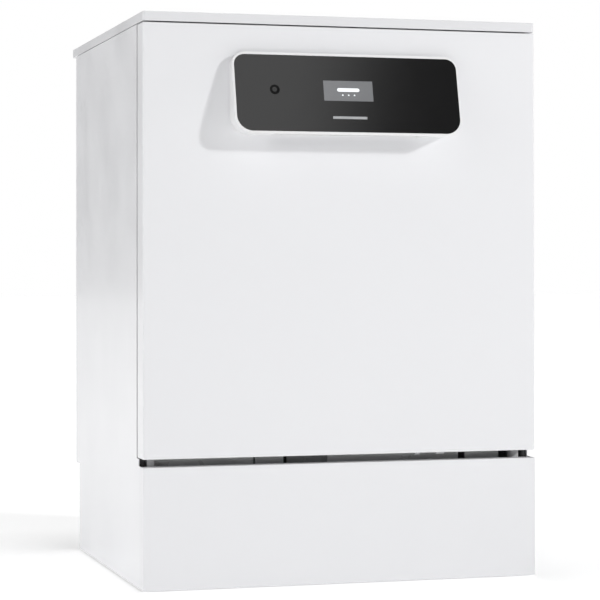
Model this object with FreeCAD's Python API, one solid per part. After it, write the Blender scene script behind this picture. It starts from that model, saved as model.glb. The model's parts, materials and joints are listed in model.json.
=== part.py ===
import FreeCAD, Part
import math
import os

# Undercounter glass washer, 600 mm class, with a drop-down door and two sliding baskets.
# Millimetres. +X is the machine's right seen from the front, the door faces -Y, +Z is up.
# Origin: on the floor, under the middle of the machine's bounding box.
# Depths, called d below, are counted backwards from the door's front face.

Vec = FreeCAD.Vector

# Casing
WIDTH = 600.0
HEIGHT = 835.0
DEPTH = 600.0               # door's front face to the lid's back edge
HALF = WIDTH / 2
SHEET = 1.2                 # steel sheet
LID_THICK = 14.0
LID_GAP = 2.0               # shadow gap between lid and door
LID_HEM = 45.0              # width of the lid's turned-in lower edge
LID_CORNER = 4.0
SIDE_GAP = 1.2              # gap between lid and side panels
LID_Z = HEIGHT - LID_THICK
PANEL_TOP = LID_Z - LID_GAP
SIDE_TOP = LID_Z - SIDE_GAP
SIDE_FRONT = 46.5           # front edge of the side panels, behind the door
SIDE_LOW_FRONT = 32.0       # the same beside the slot over the plinth
SIDE_FOLD = 14.0            # width of the side panels' turned-in edges
BODY_BACK = 565.0           # rear edge of the side panels
LOWER_BACK = 532.0          # rear edge of the side panels beside the hose recess
RECESS_TOP = 143.0
FLOOR_GAP = 3.0             # casing's lower edge to the floor
REAR_HALF = 285.0
REAR_INSET = 3.0            # rear panel behind the side panels' edge
REAR_BOTTOM = 55.0
SCREW_HOLE_R = 2.1
REAR_SCREWS = [(x, z) for x in (-240.0, 0.0, 240.0) for z in (180.0, 470.0, 780.0)]

# Door, plinth and hinge
DOOR_DEEP = 44.0
DOOR_RETURN = 39.0          # depth of the outer panel's folded sides
DOOR_FIELD = 6.0            # how far the inner door's middle stands into the tub
DOOR_BOTTOM = 191.0
LINER_SHEET = 1.5
LINER_SCREWS = [(side * 285.0, z) for side in (-1, 1) for z in (260.0, 400.0, 560.0, 720.0)]
PLINTH_TOP = 179.5
PLINTH_DEEP = 17.0
PLINTH_PROUD = 1.0          # plinth in front of the door
HINGE_D = 15.0
HINGE_Z = 200.0
HINGE_EAR_R = 7.0
PIN_R = 4.0
RUNNING = 0.05              # radial clearance of a shaft in its hole
ARM_X = 270.0               # inner face of a door hinge arm
ARM_TOP = 340.0
BRACKET_X = 276.0           # inner face of a fixed hinge bracket
BRACKET_BACK = 120.0
HINGE_PLATE = 4.0
NOTCH_GAP = 2.0             # room beside a bracket in the door's edge

# Frame of the machine
POST_D = (54.5, 504.0)
POST_X = (281.0, 292.0)
POST_DEEP = 16.0
POST_TOP = 801.0
RAIL_X = (271.0, 285.0)
RAIL_END = 520.0
CROSS_X = (-272.0, 261.0)
CROSS_D = (54.5, 56.0)
CROSS_Z = (100.0, 203.0)
CROSS_FLANGE = 20.0
CLIP_WINDOWS = ((-124.0, -121.0), (-78.0, -10.0), (196.0, 207.0))
WINDOW_Z = (172.0, 194.0)
BLOCK_X = 290.0
BLOCK_D = (34.0, 53.0)
BLOCK_Z = 150.0

# Sloping control panel on the door
HOUSING_HALF = 172.0
HOUSING_Z0 = 659.0
HOUSING_Z1 = 779.0
HOUSING_TOP_REACH = 11.0    # how far the panel's top edge stands in front of the door
TILT = 14.0                 # degrees that the glass leans back
GLASS_W = 339.0
GLASS_H = 116.0
GLASS_T = 4.0
GLASS_SUNK = 0.2            # glass below the housing's sloping face
GLASS_CORNERS = (16.0, 23.0)  # radii at the top and at the bottom
HOUSING_RIM = 4.0           # how much larger the housing's corner radii are
GRIP_HALF = 110.0
GRIP_D = (-26.0, -4.0)
GRIP_TOP = 688.0
DISPLAY_W = 75.0
DISPLAY_H = 31.0
DISPLAY_V = 5.0             # centre, up the glass from its middle
LIGHT_W = 52.0
LIGHT_H = 4.0
LIGHT_V = -36.0
LENS_N = (-4.0, -0.3)       # back and front of the display and the light under the face
BUTTON_U = -111.0
BUTTON_R = 7.0
BUTTON_GAP = 0.35
BUTTON_N = (-4.0, 0.4)
DISH_DEEP = 1.7
STEM_DEEP = 5.0
BOARD_W = 272.0
BOARD_H = 44.0
BOARD_N = (-13.0, -11.4)

# Detergent dispenser in the inner door
DISPENSER_Z0 = 400.0
DISPENSER_Z1 = 500.0
DISPENSER_HALF = 105.0
DISPENSER_DEEP = 20.0       # front of the dispenser's body inside the door
DISPENSER_PROUD = 10.0
CUP = (-92.0, -30.0, 420.0, 480.0)      # detergent cup: x0, x1, z0, z1
CUP_FLOOR_D = 26.0
FLAP_T = 2.5
CAP_X = 78.0
CAP_Z = 450.0
CAP_R = 17.0
CLEAR = 0.3                 # gap between pieces that don't touch

# Wash tub
TUB_HALF = 250.0
TUB_FRONT = 54.0
TUB_BACK = 541.0
TUB_FLOOR = 212.0
TUB_TOP = 795.0
TUB_SHEET = 1.5
TUB_CORNER = 20.0
TUB_FRAME_D = (52.0, 53.5)
TUB_FRAME_BOTTOM = 208.0
GASKET_OUTER = (262.0, 208.5, 798.0, 28.0)   # half width, bottom, top, corner
GASKET_INNER = (252.0, 216.0, 793.0, 20.0)
GASKET_FRONT = 45.6
TRACK_Z = 229.7             # where the lower basket's wheels roll
TRACK_X = 228.0
TRACK_T = 2.0
SUMP_D = 190.0
SUMP_R = 62.0
SUMP_BOTTOM = 140.0
SUMP_WALL = 3.0
FILTER_R = 32.0
SALT_X = -150.0
SALT_D = 430.0
SALT_R = 30.0
SALT_WALL = 12.0
LOCK_Z = 806.0
LOCK_HALF = 35.0
BOLT_HALF = 6.0
BOLT_TALL = 4.0             # half height of the bolt
BOLT_D = (46.5, 82.0)

# Spray arms and their pipes
ARM_D = 300.0               # depth of the spray arms' axis
LOWER_ARM_Z = 238.0
UPPER_ARM_Z = 468.0
TOP_ARM_Z = 762.0
ARM_THICK = 12.0
ARM_HALF_WIDE = 17.0
ARM_LENGTHS = {"lower": 420.0, "upper": 400.0, "top": 200.0}
HUB_R = 22.0
JET_R = 2.0
JETS = 6                    # on each half of an arm
SPINDLE_R = 5.0
NUT_R = 10.0
NUT_T = 4.0
COLLAR_R = 12.0
HUB_RISER_R = 14.0
RISER_BOTTOM = 168.0
FEED_RISER_R = 9.0
FEED_RUN_R = 7.0

# Baskets
UPPER_Z = 500.0
UPPER_TALL = 95.0
UPPER_HALF = 238.0
UPPER_FRONT = 66.0
LOWER_Z = 266.0
LOWER_TALL = 66.0
LOWER_HALF = 226.0
LOWER_FRONT = 90.0
BASKET_BACK = 518.0
WIRE = 4.0
CELLS = 10                  # openings along a basket's wall
CELLS_UP = 2
SLIDE_FRONT = 90.0
SLIDE_BACK = 510.0
SLIDE_Z = 573.0
SLIDE_T = 3.5
SLIDES = (("inner", 238.3, 20.0), ("middle", 242.2, 26.0), ("fixed", 246.1, 32.0))
WHEEL_R = 16.0
WHEEL_X = 229.2
WHEEL_WIDE = 10.0
WHEEL_HUB_R = 6.0
WHEEL_TYRE = 3.5
AXLE_Z = 246.0
AXLE_R = 3.0
AXLE_LONG = 16.5
WHEEL_D = {"front": 170.0, "rear": 440.0}

# Levelling feet and base
FOOT_X = 262.0
FOOT_D = {"front": 80.0, "rear": 480.0}
FOOT_R = 18.0
FOOT_NECK_R = 9.0
FOOT_PAD = 7.0
FOOT_RIM = 4.0
STEM_R = 5.0
STEM_LONG = 50.0
TRAY_HALF = 296.0
TRAY_D = (22.0, 527.0)
TRAY_Z = 12.0
TRAY_TOP = 50.0
TRAY_WALL = 3.0
BOSS_R = 12.0
BOSS_TALL = 30.0

# Machinery under the tub
INLET_X = 180.0
DRAIN_X = 120.0
GLAND_X = -190.0
INLET_Z = 95.0              # height of all three connections
PIPE_R = {INLET_X: 14.5, DRAIN_X: 12.5, GLAND_X: 9.5}   # holes in the rear panel
PUMP_Z = 108.0
MOTOR_R = 42.0
VOLUTE_R = 52.0
DRAIN_PUMP_R = 28.0
TANK = (-235.0, -105.0, 360.0, 500.0, 60.0, 200.0)      # x0, x1, d0, d1, z0, z1
ELECTRONICS = (-245.0, -115.0, 100.0, 190.0, 60.0, 150.0)

OVER = 1.0                  # how far a cutter reaches past what it cuts
SLOPE = math.tan(math.radians(TILT))
PANEL_REACH = HOUSING_TOP_REACH + (HOUSING_Z1 - HOUSING_Z0) * SLOPE     # at its lower edge
PANEL_MID_Z = (HOUSING_Z0 + HOUSING_Z1) / 2
PANEL_MID_D = -(HOUSING_TOP_REACH + (HOUSING_Z1 - PANEL_MID_Z) * SLOPE)
FRONT = PANEL_REACH - (DEPTH + PANEL_REACH) / 2     # Y of the door's front face
AXES = {"x": Vec(1, 0, 0), "y": Vec(0, 1, 0), "z": Vec(0, 0, 1)}


# ---------------------------------------------------------------- helpers

def slab(x0, x1, d0, d1, z0, z1):
    """Box between two X, two depths and two heights."""
    return Part.makeBox(x1 - x0, d1 - d0, z1 - z0, Vec(x0, FRONT + d0, z0))


def rod(axis, r, start, length):
    """Round bar from start = (x, d, z) along an axis."""
    x, d, z = start
    return Part.makeCylinder(r, length, Vec(x, FRONT + d, z), AXES[axis])


def tube(axis, r, wall, start, length):
    return rod(axis, r, start, length).cut(rod(axis, r - wall, start, length))


def side_prism(points, x0, x1):
    """Prism along X whose outline is a list of (d, z)."""
    corners = [Vec(x0, FRONT + d, z) for d, z in points]
    outline = Part.makePolygon(corners + corners[:1])
    return Part.Face(outline).extrude(Vec(x1 - x0, 0, 0))


def fuse(first, *others):
    return first.multiFuse(list(others)).removeSplitter()


def mirrored(shape):
    return shape.mirror(Vec(0, 0, 0), AXES["x"])


def pair(shape):
    """The right-hand piece and its mirror image."""
    return [shape, mirrored(shape)]


def round_edges(shape, r, axis, keep=lambda middle: True):
    """Fillet the straight edges along one axis whose middle point passes keep."""
    def wanted(edge):
        if not isinstance(edge.Curve, Part.Line):
            return False
        along = edge.tangentAt(edge.FirstParameter).dot(AXES[axis])
        return abs(along) > 0.999 and keep(edge.CenterOfMass)
    return shape.makeFillet(r, [edge for edge in shape.Edges if wanted(edge)])


def save(name, *solids):
    shape = solids[0] if len(solids) == 1 else Part.makeCompound(list(solids))
    shape.exportStep("parts/" + name + ".step")


def grille(x0, x1, d0, d1, z0, z1, across, up, flat):
    """Flat wire grid: a plate pierced across its thin axis by rows of openings."""
    plate = slab(x0, x1, d0, d1, z0, z1)
    spans = {"x": ((d0, d1), (z0, z1)), "y": ((x0, x1), (z0, z1)), "z": ((x0, x1), (d0, d1))}
    (a0, a1), (b0, b1) = spans[flat]
    step_a = (a1 - a0 - WIRE) / across
    step_b = (b1 - b0 - WIRE) / up
    holes = []
    for i in range(across):
        for j in range(up):
            a = a0 + WIRE + i * step_a
            b = b0 + WIRE + j * step_b
            a_end = a + step_a - WIRE
            b_end = b + step_b - WIRE
            if flat == "z":
                holes.append(slab(a, a_end, b, b_end, z0 - OVER, z1 + OVER))
            elif flat == "y":
                holes.append(slab(a, a_end, d0 - OVER, d1 + OVER, b, b_end))
            else:
                holes.append(slab(x0 - OVER, x1 + OVER, a, a_end, b, b_end))
    return plate.cut(Part.makeCompound(holes))


def screw(start, head_r, head_t, shank):
    """Pan-head screw whose head points backwards from start."""
    x, d, z = start
    head = rod("y", head_r, start, head_t)
    return fuse(head, rod("y", SCREW_HOLE_R - 0.1, (x, d - shank, z), shank))


# ---------------------------------------------------------------- casing

def lid():
    """Worktop, a shallow steel tray turned upside down, its lower edge hemmed inwards."""
    skin = slab(-HALF, HALF, 0, DEPTH, LID_Z, HEIGHT)
    skin = round_edges(skin, LID_CORNER, "z")
    skin = round_edges(skin, 1.5, "x", lambda m: m.z > HEIGHT - OVER)
    inner = HALF - SHEET
    hollow = slab(-inner, inner, SHEET, DEPTH - SHEET, LID_Z + SHEET, HEIGHT - SHEET)
    hollow = round_edges(hollow, LID_CORNER - SHEET, "z")
    open_half = HALF - LID_HEM
    mouth = slab(-open_half, open_half, LID_HEM, DEPTH - LID_HEM, LID_Z - OVER, LID_Z + 2 * SHEET)
    return skin.cut(hollow).cut(mouth)


def side_panel():
    """Right-hand panel: one sheet stepped forward beside the plinth, with turned-in edges."""
    plinth_back = PLINTH_DEEP + OVER
    slot_top = DOOR_BOTTOM - OVER
    outline = [(plinth_back, FLOOR_GAP), (plinth_back, PLINTH_TOP), (SIDE_LOW_FRONT, PLINTH_TOP),
               (SIDE_LOW_FRONT, slot_top), (SIDE_FRONT, slot_top), (SIDE_FRONT, SIDE_TOP),
               (BODY_BACK, SIDE_TOP), (BODY_BACK, RECESS_TOP), (LOWER_BACK, RECESS_TOP),
               (LOWER_BACK, FLOOR_GAP)]
    skin = side_prism(outline, HALF - SHEET, HALF)
    fold = HALF - SIDE_FOLD
    low_fold = FLOOR_GAP + 8
    folds = [slab(fold, HALF, SIDE_FRONT, SIDE_FRONT + SHEET, DOOR_BOTTOM + OVER, SIDE_TOP),
             slab(fold, HALF, BODY_BACK - SHEET, BODY_BACK, RECESS_TOP, SIDE_TOP),
             slab(fold, HALF, LOWER_BACK - SHEET, LOWER_BACK, low_fold, RECESS_TOP),
             slab(fold, HALF, SIDE_FRONT, BODY_BACK, SIDE_TOP - SHEET, SIDE_TOP)]
    return fuse(skin, *folds)


def rear_panel():
    """Back sheet with a shelf and a set-back lower part that leaves room for the hoses."""
    outer = BODY_BACK - REAR_INSET
    inner = LOWER_BACK - REAR_INSET
    shelf_top = RECESS_TOP + SHEET
    panel = fuse(slab(-REAR_HALF, REAR_HALF, outer, outer + SHEET, RECESS_TOP, PANEL_TOP - 4),
                 slab(-REAR_HALF, REAR_HALF, inner, outer + SHEET, RECESS_TOP, shelf_top),
                 slab(-REAR_HALF, REAR_HALF, inner, inner + SHEET, REAR_BOTTOM, shelf_top))
    for x, z in REAR_SCREWS:
        panel = panel.cut(rod("y", SCREW_HOLE_R, (x, outer - OVER, z), SHEET + 2 * OVER))
    for x, r in PIPE_R.items():
        panel = panel.cut(rod("y", r, (x, inner - OVER, INLET_Z), SHEET + 2 * OVER))
    return panel


def foot_places():
    return [(side, end, sign * FOOT_X, FOOT_D[end])
            for side, sign in (("left", -1), ("right", 1)) for end in ("front", "rear")]


def base_tray():
    """Moulded base: a drip tray with four bosses for the feet."""
    front, back = TRAY_D
    tray = slab(-TRAY_HALF, TRAY_HALF, front, back, TRAY_Z, TRAY_TOP)
    inner = TRAY_HALF - TRAY_WALL
    tray = tray.cut(slab(-inner, inner, front + TRAY_WALL, back - TRAY_WALL,
                         TRAY_Z + TRAY_WALL, TRAY_TOP + OVER))
    bosses = [rod("z", BOSS_R, (x, d, TRAY_Z), BOSS_TALL) for _, _, x, d in foot_places()]
    tray = fuse(tray, *bosses)
    for _, _, x, d in foot_places():
        tray = tray.cut(rod("z", STEM_R + RUNNING, (x, d, 0), TRAY_TOP + OVER))
    return tray


def foot(x, d):
    """Round pad with a sloping shoulder and a screwed stem."""
    pad = rod("z", FOOT_R, (x, d, 0), FOOT_RIM)
    cone = Part.makeCone(FOOT_R, FOOT_NECK_R, FOOT_PAD - FOOT_RIM, Vec(x, FRONT + d, FOOT_RIM), AXES["z"])
    return fuse(pad, cone, rod("z", STEM_R, (x, d, FOOT_PAD), STEM_LONG))


def chassis():
    """Four posts on the base, joined at the top by a rail on each side."""
    bars = []
    for d in POST_D:
        bars += pair(slab(*POST_X, d, d + POST_DEEP, TRAY_Z + TRAY_WALL, POST_TOP))
    return bars + pair(slab(*RAIL_X, POST_D[0], RAIL_END, POST_TOP, LID_Z))


def front_crossmember():
    """Strip across the front behind the plinth slot, with clip windows."""
    strip = slab(*CROSS_X, *CROSS_D, *CROSS_Z)
    flange = slab(*CROSS_X, CROSS_D[0], CROSS_D[1] + CROSS_FLANGE, CROSS_Z[1] - 2, CROSS_Z[1])
    member = fuse(strip, flange)
    for x0, x1 in CLIP_WINDOWS:
        member = member.cut(slab(x0, x1, CROSS_D[0] - OVER, CROSS_D[1] + OVER, *WINDOW_Z))
    return round_edges(member, 1.0, "x", lambda m: m.z > CROSS_Z[1] - OVER and m.y < FRONT + CROSS_D[1])


def corner_block():
    block = slab(BLOCK_X, HALF - 1.5, *BLOCK_D, BLOCK_Z, DOOR_BOTTOM - 1.5)
    return round_edges(block, 3.0, "z")


def plinth_panel():
    """Kick panel: folded sheet tray, marginally proud of the door."""
    tray = slab(-HALF, HALF, -PLINTH_PROUD, PLINTH_DEEP, FLOOR_GAP, PLINTH_TOP)
    tray = round_edges(tray, 2.0, "z", lambda m: m.y < FRONT)
    tray = round_edges(tray, 1.0, "x", lambda m: m.y < FRONT)
    inner = HALF - SHEET
    return tray.cut(slab(-inner, inner, SHEET - PLINTH_PROUD, PLINTH_DEEP + OVER,
                         FLOOR_GAP + SHEET, PLINTH_TOP - SHEET))


# ---------------------------------------------------------------- door

def hinge_notches(shape):
    """Room for the fixed brackets through the door's lower edge."""
    cut = slab(BRACKET_X - NOTCH_GAP, BRACKET_X + HINGE_PLATE + NOTCH_GAP,
               HINGE_D - HINGE_EAR_R - NOTCH_GAP, DOOR_DEEP + 5,
               DOOR_BOTTOM - 5, HINGE_Z + HINGE_EAR_R + NOTCH_GAP)
    return shape.cut(cut).cut(mirrored(cut))


def door_outer_panel():
    """Folded white tray that covers the door's front, sides, top and bottom."""
    tray = slab(-HALF, HALF, 0, DOOR_RETURN, DOOR_BOTTOM, PANEL_TOP)
    tray = round_edges(tray, 2.5, "z", lambda m: m.y < FRONT + OVER)
    tray = round_edges(tray, 1.2, "x", lambda m: m.y < FRONT + OVER)
    inner = HALF - SHEET
    tray = tray.cut(slab(-inner, inner, SHEET, DOOR_RETURN + OVER, DOOR_BOTTOM + SHEET, PANEL_TOP - SHEET))
    return hinge_notches(tray)


def door_inner_liner():
    """Stainless inner door with a raised centre field and a cut-out for the dispenser."""
    t = LINER_SHEET
    back = DOOR_DEEP
    edge = HALF - SHEET - CLEAR
    sheet = slab(-edge, edge, back - t, back, DOOR_BOTTOM + 3, PANEL_TOP - SHEET - CLEAR)
    half, bottom, top, corner = 225, 250, 785, 25
    field = round_edges(slab(-half, half, back - t, back + DOOR_FIELD, bottom, top), corner, "y")
    hollow = slab(-half + t, half - t, back - 5, back + DOOR_FIELD - t, bottom + t, top - t)
    liner = fuse(sheet, field).cut(round_edges(hollow, corner - t, "y"))
    past = back + DOOR_FIELD + OVER
    liner = liner.cut(slab(-DISPENSER_HALF, DISPENSER_HALF, back - 5, past, DISPENSER_Z0, DISPENSER_Z1))
    liner = liner.cut(slab(-9, 9, back - 5, past, LOCK_Z - 7, LOCK_Z + 7))
    for x, z in LINER_SCREWS:
        liner = liner.cut(rod("y", SCREW_HOLE_R, (x, back - 5, z), 10))
    return hinge_notches(liner)


def door_insulation():
    """Sound mat between the two door skins, cut away round the dispenser."""
    mat = slab(-258, 258, 3, 38, 215, 790)
    room = DISPENSER_HALF + 7
    return mat.cut(slab(-room, room, DISPENSER_DEEP - 2, 40, DISPENSER_Z0 - 8, DISPENSER_Z1 + 8))


def hinge_arm():
    """Door plate that carries the pin, screwed to the inside of the liner."""
    ear = rod("x", HINGE_EAR_R, (ARM_X, HINGE_D, HINGE_Z), HINGE_PLATE)
    front = HINGE_D - HINGE_EAR_R
    back = DOOR_DEEP - LINER_SHEET - 0.1
    web = side_prism([(front, HINGE_Z), (HINGE_D + 20, HINGE_Z - 4), (back, HINGE_Z + 10),
                      (back, ARM_TOP), (HINGE_D + 12, ARM_TOP), (front, HINGE_Z + 40)],
                     ARM_X, ARM_X + HINGE_PLATE)
    return fuse(ear, web).cut(rod("x", PIN_R, (ARM_X - OVER, HINGE_D, HINGE_Z), HINGE_PLATE + 2 * OVER))


def hinge_pin():
    head = rod("x", 6.0, (ARM_X - 3, HINGE_D, HINGE_Z), 3)
    return fuse(head, rod("x", PIN_R, (ARM_X, HINGE_D, HINGE_Z), BRACKET_X + HINGE_PLATE + 2 - ARM_X))


def hinge_bracket():
    """Fixed plate that reaches forward from the chassis to the hinge pin."""
    low = HINGE_Z - HINGE_EAR_R
    outer = BRACKET_X + HINGE_PLATE
    ear = rod("x", HINGE_EAR_R, (BRACKET_X, HINGE_D, HINGE_Z), HINGE_PLATE)
    bar = slab(BRACKET_X, outer, HINGE_D, BRACKET_BACK, low, HINGE_Z + HINGE_EAR_R)
    foot_plate = slab(BRACKET_X, outer, BRACKET_BACK / 2, BRACKET_BACK, 60, low)
    hole = rod("x", PIN_R + RUNNING, (BRACKET_X - OVER, HINGE_D, HINGE_Z), HINGE_PLATE + 2 * OVER)
    return fuse(ear, bar, foot_plate).cut(hole)


# Control panel parts are drawn flat, with u to the right, v up the glass and n out of it,
# and then laid on the sloping face.

def on_panel(shape):
    shape.Placement = FreeCAD.Placement(Vec(0, FRONT + PANEL_MID_D, PANEL_MID_Z),
                                        FreeCAD.Rotation(AXES["x"], 90 - TILT))
    return shape


def flat_plate(w, h, v, n0, n1):
    """Plate centred on u = 0, between two heights over the sloping face."""
    return Part.makeBox(w, h, n1 - n0, Vec(-w / 2, v - h / 2, n0))


def glass_plate(spare, n0, n1):
    """The glass outline, softer at its lower corners."""
    plate = flat_plate(GLASS_W + spare, GLASS_H + spare, 0, n0, n1)
    plate = round_edges(plate, GLASS_CORNERS[0] + spare / 2, "z", lambda m: m.y > 0)
    return round_edges(plate, GLASS_CORNERS[1] + spare / 2, "z", lambda m: m.y < 0)


def control_housing():
    """White wedge on the door: glass in front, board inside, finger grip underneath."""
    block = slab(-HOUSING_HALF, HOUSING_HALF, -60, 0, HOUSING_Z0, HOUSING_Z1)
    block = round_edges(block, GLASS_CORNERS[0] + HOUSING_RIM, "y", lambda m: m.z > PANEL_MID_Z)
    block = round_edges(block, GLASS_CORNERS[1] + HOUSING_RIM, "y", lambda m: m.z < PANEL_MID_Z)
    far, past = -90, 20
    ahead = [(far, HOUSING_Z0 - past), (-(PANEL_REACH + past * SLOPE), HOUSING_Z0 - past),
             (-(HOUSING_TOP_REACH - past * SLOPE), HOUSING_Z1 + past), (far, HOUSING_Z1 + past)]
    block = block.cut(side_prism(ahead, -HOUSING_HALF - past, HOUSING_HALF + past))
    glass_seat = on_panel(glass_plate(0.4, -GLASS_T - GLASS_SUNK, past))
    board_seat = on_panel(flat_plate(BOARD_W + 8, BOARD_H + 6, -3, -14, 0))
    grip = slab(-GRIP_HALF, GRIP_HALF, *GRIP_D, HOUSING_Z0 - past, GRIP_TOP)
    grip = round_edges(grip, 8, "y", lambda m: m.z > GRIP_TOP - OVER)
    return block.cut(glass_seat).cut(board_seat).cut(grip)


def control_glass():
    """Black-backed glass with openings for the display, the light and the button."""
    glass = glass_plate(0, -GLASS_T - GLASS_SUNK, -GLASS_SUNK)
    behind = -GLASS_T - 2
    glass = glass.cut(flat_plate(DISPLAY_W, DISPLAY_H, DISPLAY_V, behind, OVER))
    glass = glass.cut(flat_plate(LIGHT_W, LIGHT_H, LIGHT_V, behind, OVER))
    hole = Part.makeCylinder(BUTTON_R + BUTTON_GAP, OVER - behind, Vec(BUTTON_U, DISPLAY_V, behind))
    return on_panel(glass.cut(hole))


def display_screen():
    return on_panel(flat_plate(DISPLAY_W - 0.1, DISPLAY_H - 0.1, DISPLAY_V, *LENS_N))


def status_light():
    return on_panel(flat_plate(LIGHT_W - 0.1, LIGHT_H - 0.1, LIGHT_V, *LENS_N))


def power_button():
    """Round cap with a conical dish, on a stem that reaches the board."""
    back, top = BUTTON_N
    cap = Part.makeCylinder(BUTTON_R, top - back, Vec(BUTTON_U, DISPLAY_V, back))
    stem = Part.makeCylinder(3.0, STEM_DEEP + OVER, Vec(BUTTON_U, DISPLAY_V, back - STEM_DEEP))
    dish = Part.makeCone(BUTTON_R / 2, BUTTON_R - 0.5, DISH_DEEP, Vec(BUTTON_U, DISPLAY_V, top - DISH_DEEP))
    return on_panel(fuse(cap, stem).cut(dish))


def control_board():
    return on_panel(flat_plate(BOARD_W, BOARD_H, -3, *BOARD_N))


def door_lock_bolt():
    return slab(-BOLT_HALF, BOLT_HALF, *BOLT_D, LOCK_Z - BOLT_TALL, LOCK_Z + BOLT_TALL)


def door_lock_housing():
    """Block over the tub that the lock bolt slides in."""
    body = slab(-LOCK_HALF, LOCK_HALF, TUB_FRAME_D[1] + 0.1, 95, TUB_TOP + 3, PANEL_TOP - 2)
    room = BOLT_HALF + 0.4
    tall = BOLT_TALL + 0.4
    return body.cut(slab(-room, room, BOLT_D[0], BOLT_D[1] + 10, LOCK_Z - tall, LOCK_Z + tall))


def dispenser_body():
    """Moulded detergent and rinse-aid dispenser let into the inner door."""
    half = DISPENSER_HALF - CLEAR
    body = slab(-half, half, DISPENSER_DEEP, DOOR_DEEP + DISPENSER_PROUD,
                DISPENSER_Z0 + CLEAR, DISPENSER_Z1 - CLEAR)
    body = round_edges(body, 6, "y")
    x0, x1, z0, z1 = CUP
    cup = slab(x0, x1, CUP_FLOOR_D, DOOR_DEEP + DISPENSER_PROUD + OVER, z0, z1)
    return body.cut(round_edges(cup, 8, "y")).cut(rod("y", CAP_R - 4, (CAP_X, 30, CAP_Z), 30))


def detergent_flap():
    """Flat cover with a finger ridge, sliding sideways over the detergent cup."""
    x0, x1, z0, z1 = CUP
    face = DOOR_DEEP + DISPENSER_PROUD + CLEAR
    cover = slab(x0 - 4, x1 + 4, face, face + FLAP_T, z0 - 5, z1 + 5)
    ridge = slab(x1 - 4, x1, face + FLAP_T, face + FLAP_T + 2.2, z0 + 10, z1 - 10)
    outer = (x1 - x0) / 2
    return round_edges(fuse(cover, ridge), 5, "y", lambda m: abs(m.x - (x0 + x1) / 2) > outer)


def rinse_aid_cap():
    """Quarter-turn cap with a grip bar."""
    face = DOOR_DEEP + DISPENSER_PROUD + CLEAR
    rim = rod("y", CAP_R, (CAP_X, face, CAP_Z), 3)
    grip = slab(CAP_X - 12, CAP_X + 12, face + 2.7, face + 5.7, CAP_Z - 2, CAP_Z + 2)
    stopper = rod("y", CAP_R - 4.4, (CAP_X, 40, CAP_Z), face - 40)
    return fuse(rim, grip, stopper)


# ---------------------------------------------------------------- tub

def tub_frame():
    """Front frame of the tub, the face that the seal sits on."""
    ring = slab(-HALF + 3, HALF - 3, *TUB_FRAME_D, TUB_FRAME_BOTTOM, PANEL_TOP - 2)
    opening = slab(-TUB_HALF, TUB_HALF, TUB_FRAME_D[0] - OVER, TUB_FRAME_D[1] + OVER, TUB_FLOOR + 2, TUB_TOP)
    opening = round_edges(opening, TUB_CORNER, "y")
    bolt_hole = slab(-8, 8, TUB_FRAME_D[0] - OVER, TUB_FRAME_D[1] + OVER, LOCK_Z - 6, LOCK_Z + 6)
    return ring.cut(opening).cut(bolt_hole)


def tub_gasket():
    """Rubber ring that the closed door presses on."""
    half, bottom, top, corner = GASKET_OUTER
    outer = round_edges(slab(-half, half, GASKET_FRONT, TUB_FRAME_D[0], bottom, top), corner, "y")
    half, bottom, top, corner = GASKET_INNER
    past = TUB_FRAME_D[0] + OVER
    inner = round_edges(slab(-half, half, GASKET_FRONT - OVER, past, bottom, top), corner, "y")
    return outer.cut(inner)


def tub_wrapper():
    """One sheet bent over the top and down both sides of the tub."""
    t = TUB_SHEET
    outer = round_edges(slab(-TUB_HALF - t, TUB_HALF + t, TUB_FRONT, TUB_BACK, TUB_FLOOR, TUB_TOP + t),
                        TUB_CORNER + t, "y", lambda m: m.z > TUB_TOP)
    inner = slab(-TUB_HALF, TUB_HALF, TUB_FRONT - OVER, TUB_BACK + OVER, TUB_FLOOR - 30, TUB_TOP)
    return outer.cut(round_edges(inner, TUB_CORNER, "y", lambda m: m.z > TUB_TOP - OVER))


def tub_back():
    half = TUB_HALF + TUB_SHEET
    return slab(-half, half, TUB_BACK, TUB_BACK + TUB_SHEET, TUB_FLOOR, TUB_TOP)


def tub_floor():
    """Bottom sheet with holes for the sump, the arm hub and the salt neck."""
    floor = slab(-TUB_HALF, TUB_HALF, TUB_FRONT, TUB_BACK, TUB_FLOOR - 2, TUB_FLOOR)
    for x, d, r in ((0, SUMP_D, SUMP_R), (0, ARM_D, HUB_RISER_R + CLEAR), (SALT_X, SALT_D, SALT_R - 5)):
        floor = floor.cut(rod("z", r, (x, d, TUB_FLOOR - 5), 10))
    return floor


def basket_track():
    """Ledge along the right-hand tub wall that carries the lower basket's wheels."""
    front, back = TUB_FRONT + 2, TUB_BACK - 11
    ledge = slab(TRACK_X, TUB_HALF - 0.2, front, back, TRACK_Z - TRACK_T, TRACK_Z)
    return fuse(ledge, slab(TRACK_X, TRACK_X + TRACK_T, front, back, TUB_FLOOR, TRACK_Z))


def sump():
    cup = rod("z", SUMP_R - 0.2, (0, SUMP_D, SUMP_BOTTOM), TUB_FLOOR - SUMP_BOTTOM)
    return cup.cut(rod("z", SUMP_R - SUMP_WALL, (0, SUMP_D, SUMP_BOTTOM + SUMP_WALL), 80))


def filter_cartridge():
    """Twist-in cup filter with a cross grip."""
    flange = rod("z", SUMP_R - 4, (0, SUMP_D, TUB_FLOOR - 4), 3)
    cup = tube("z", FILTER_R, 2.5, (0, SUMP_D, SUMP_BOTTOM + 10), TUB_FLOOR - 4 - SUMP_BOTTOM - 10)
    floor = rod("z", FILTER_R, (0, SUMP_D, SUMP_BOTTOM + 7), 3)
    reach, half = 26, 2
    low, high = TUB_FLOOR - 1, TUB_FLOOR + 14
    grips = [slab(-reach, reach, SUMP_D - half, SUMP_D + half, low, high),
             slab(-half, half, SUMP_D - reach, SUMP_D + reach, low, high)]
    return fuse(flange, cup, floor, *grips)


# ---------------------------------------------------------------- spray arms and pipes

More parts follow.
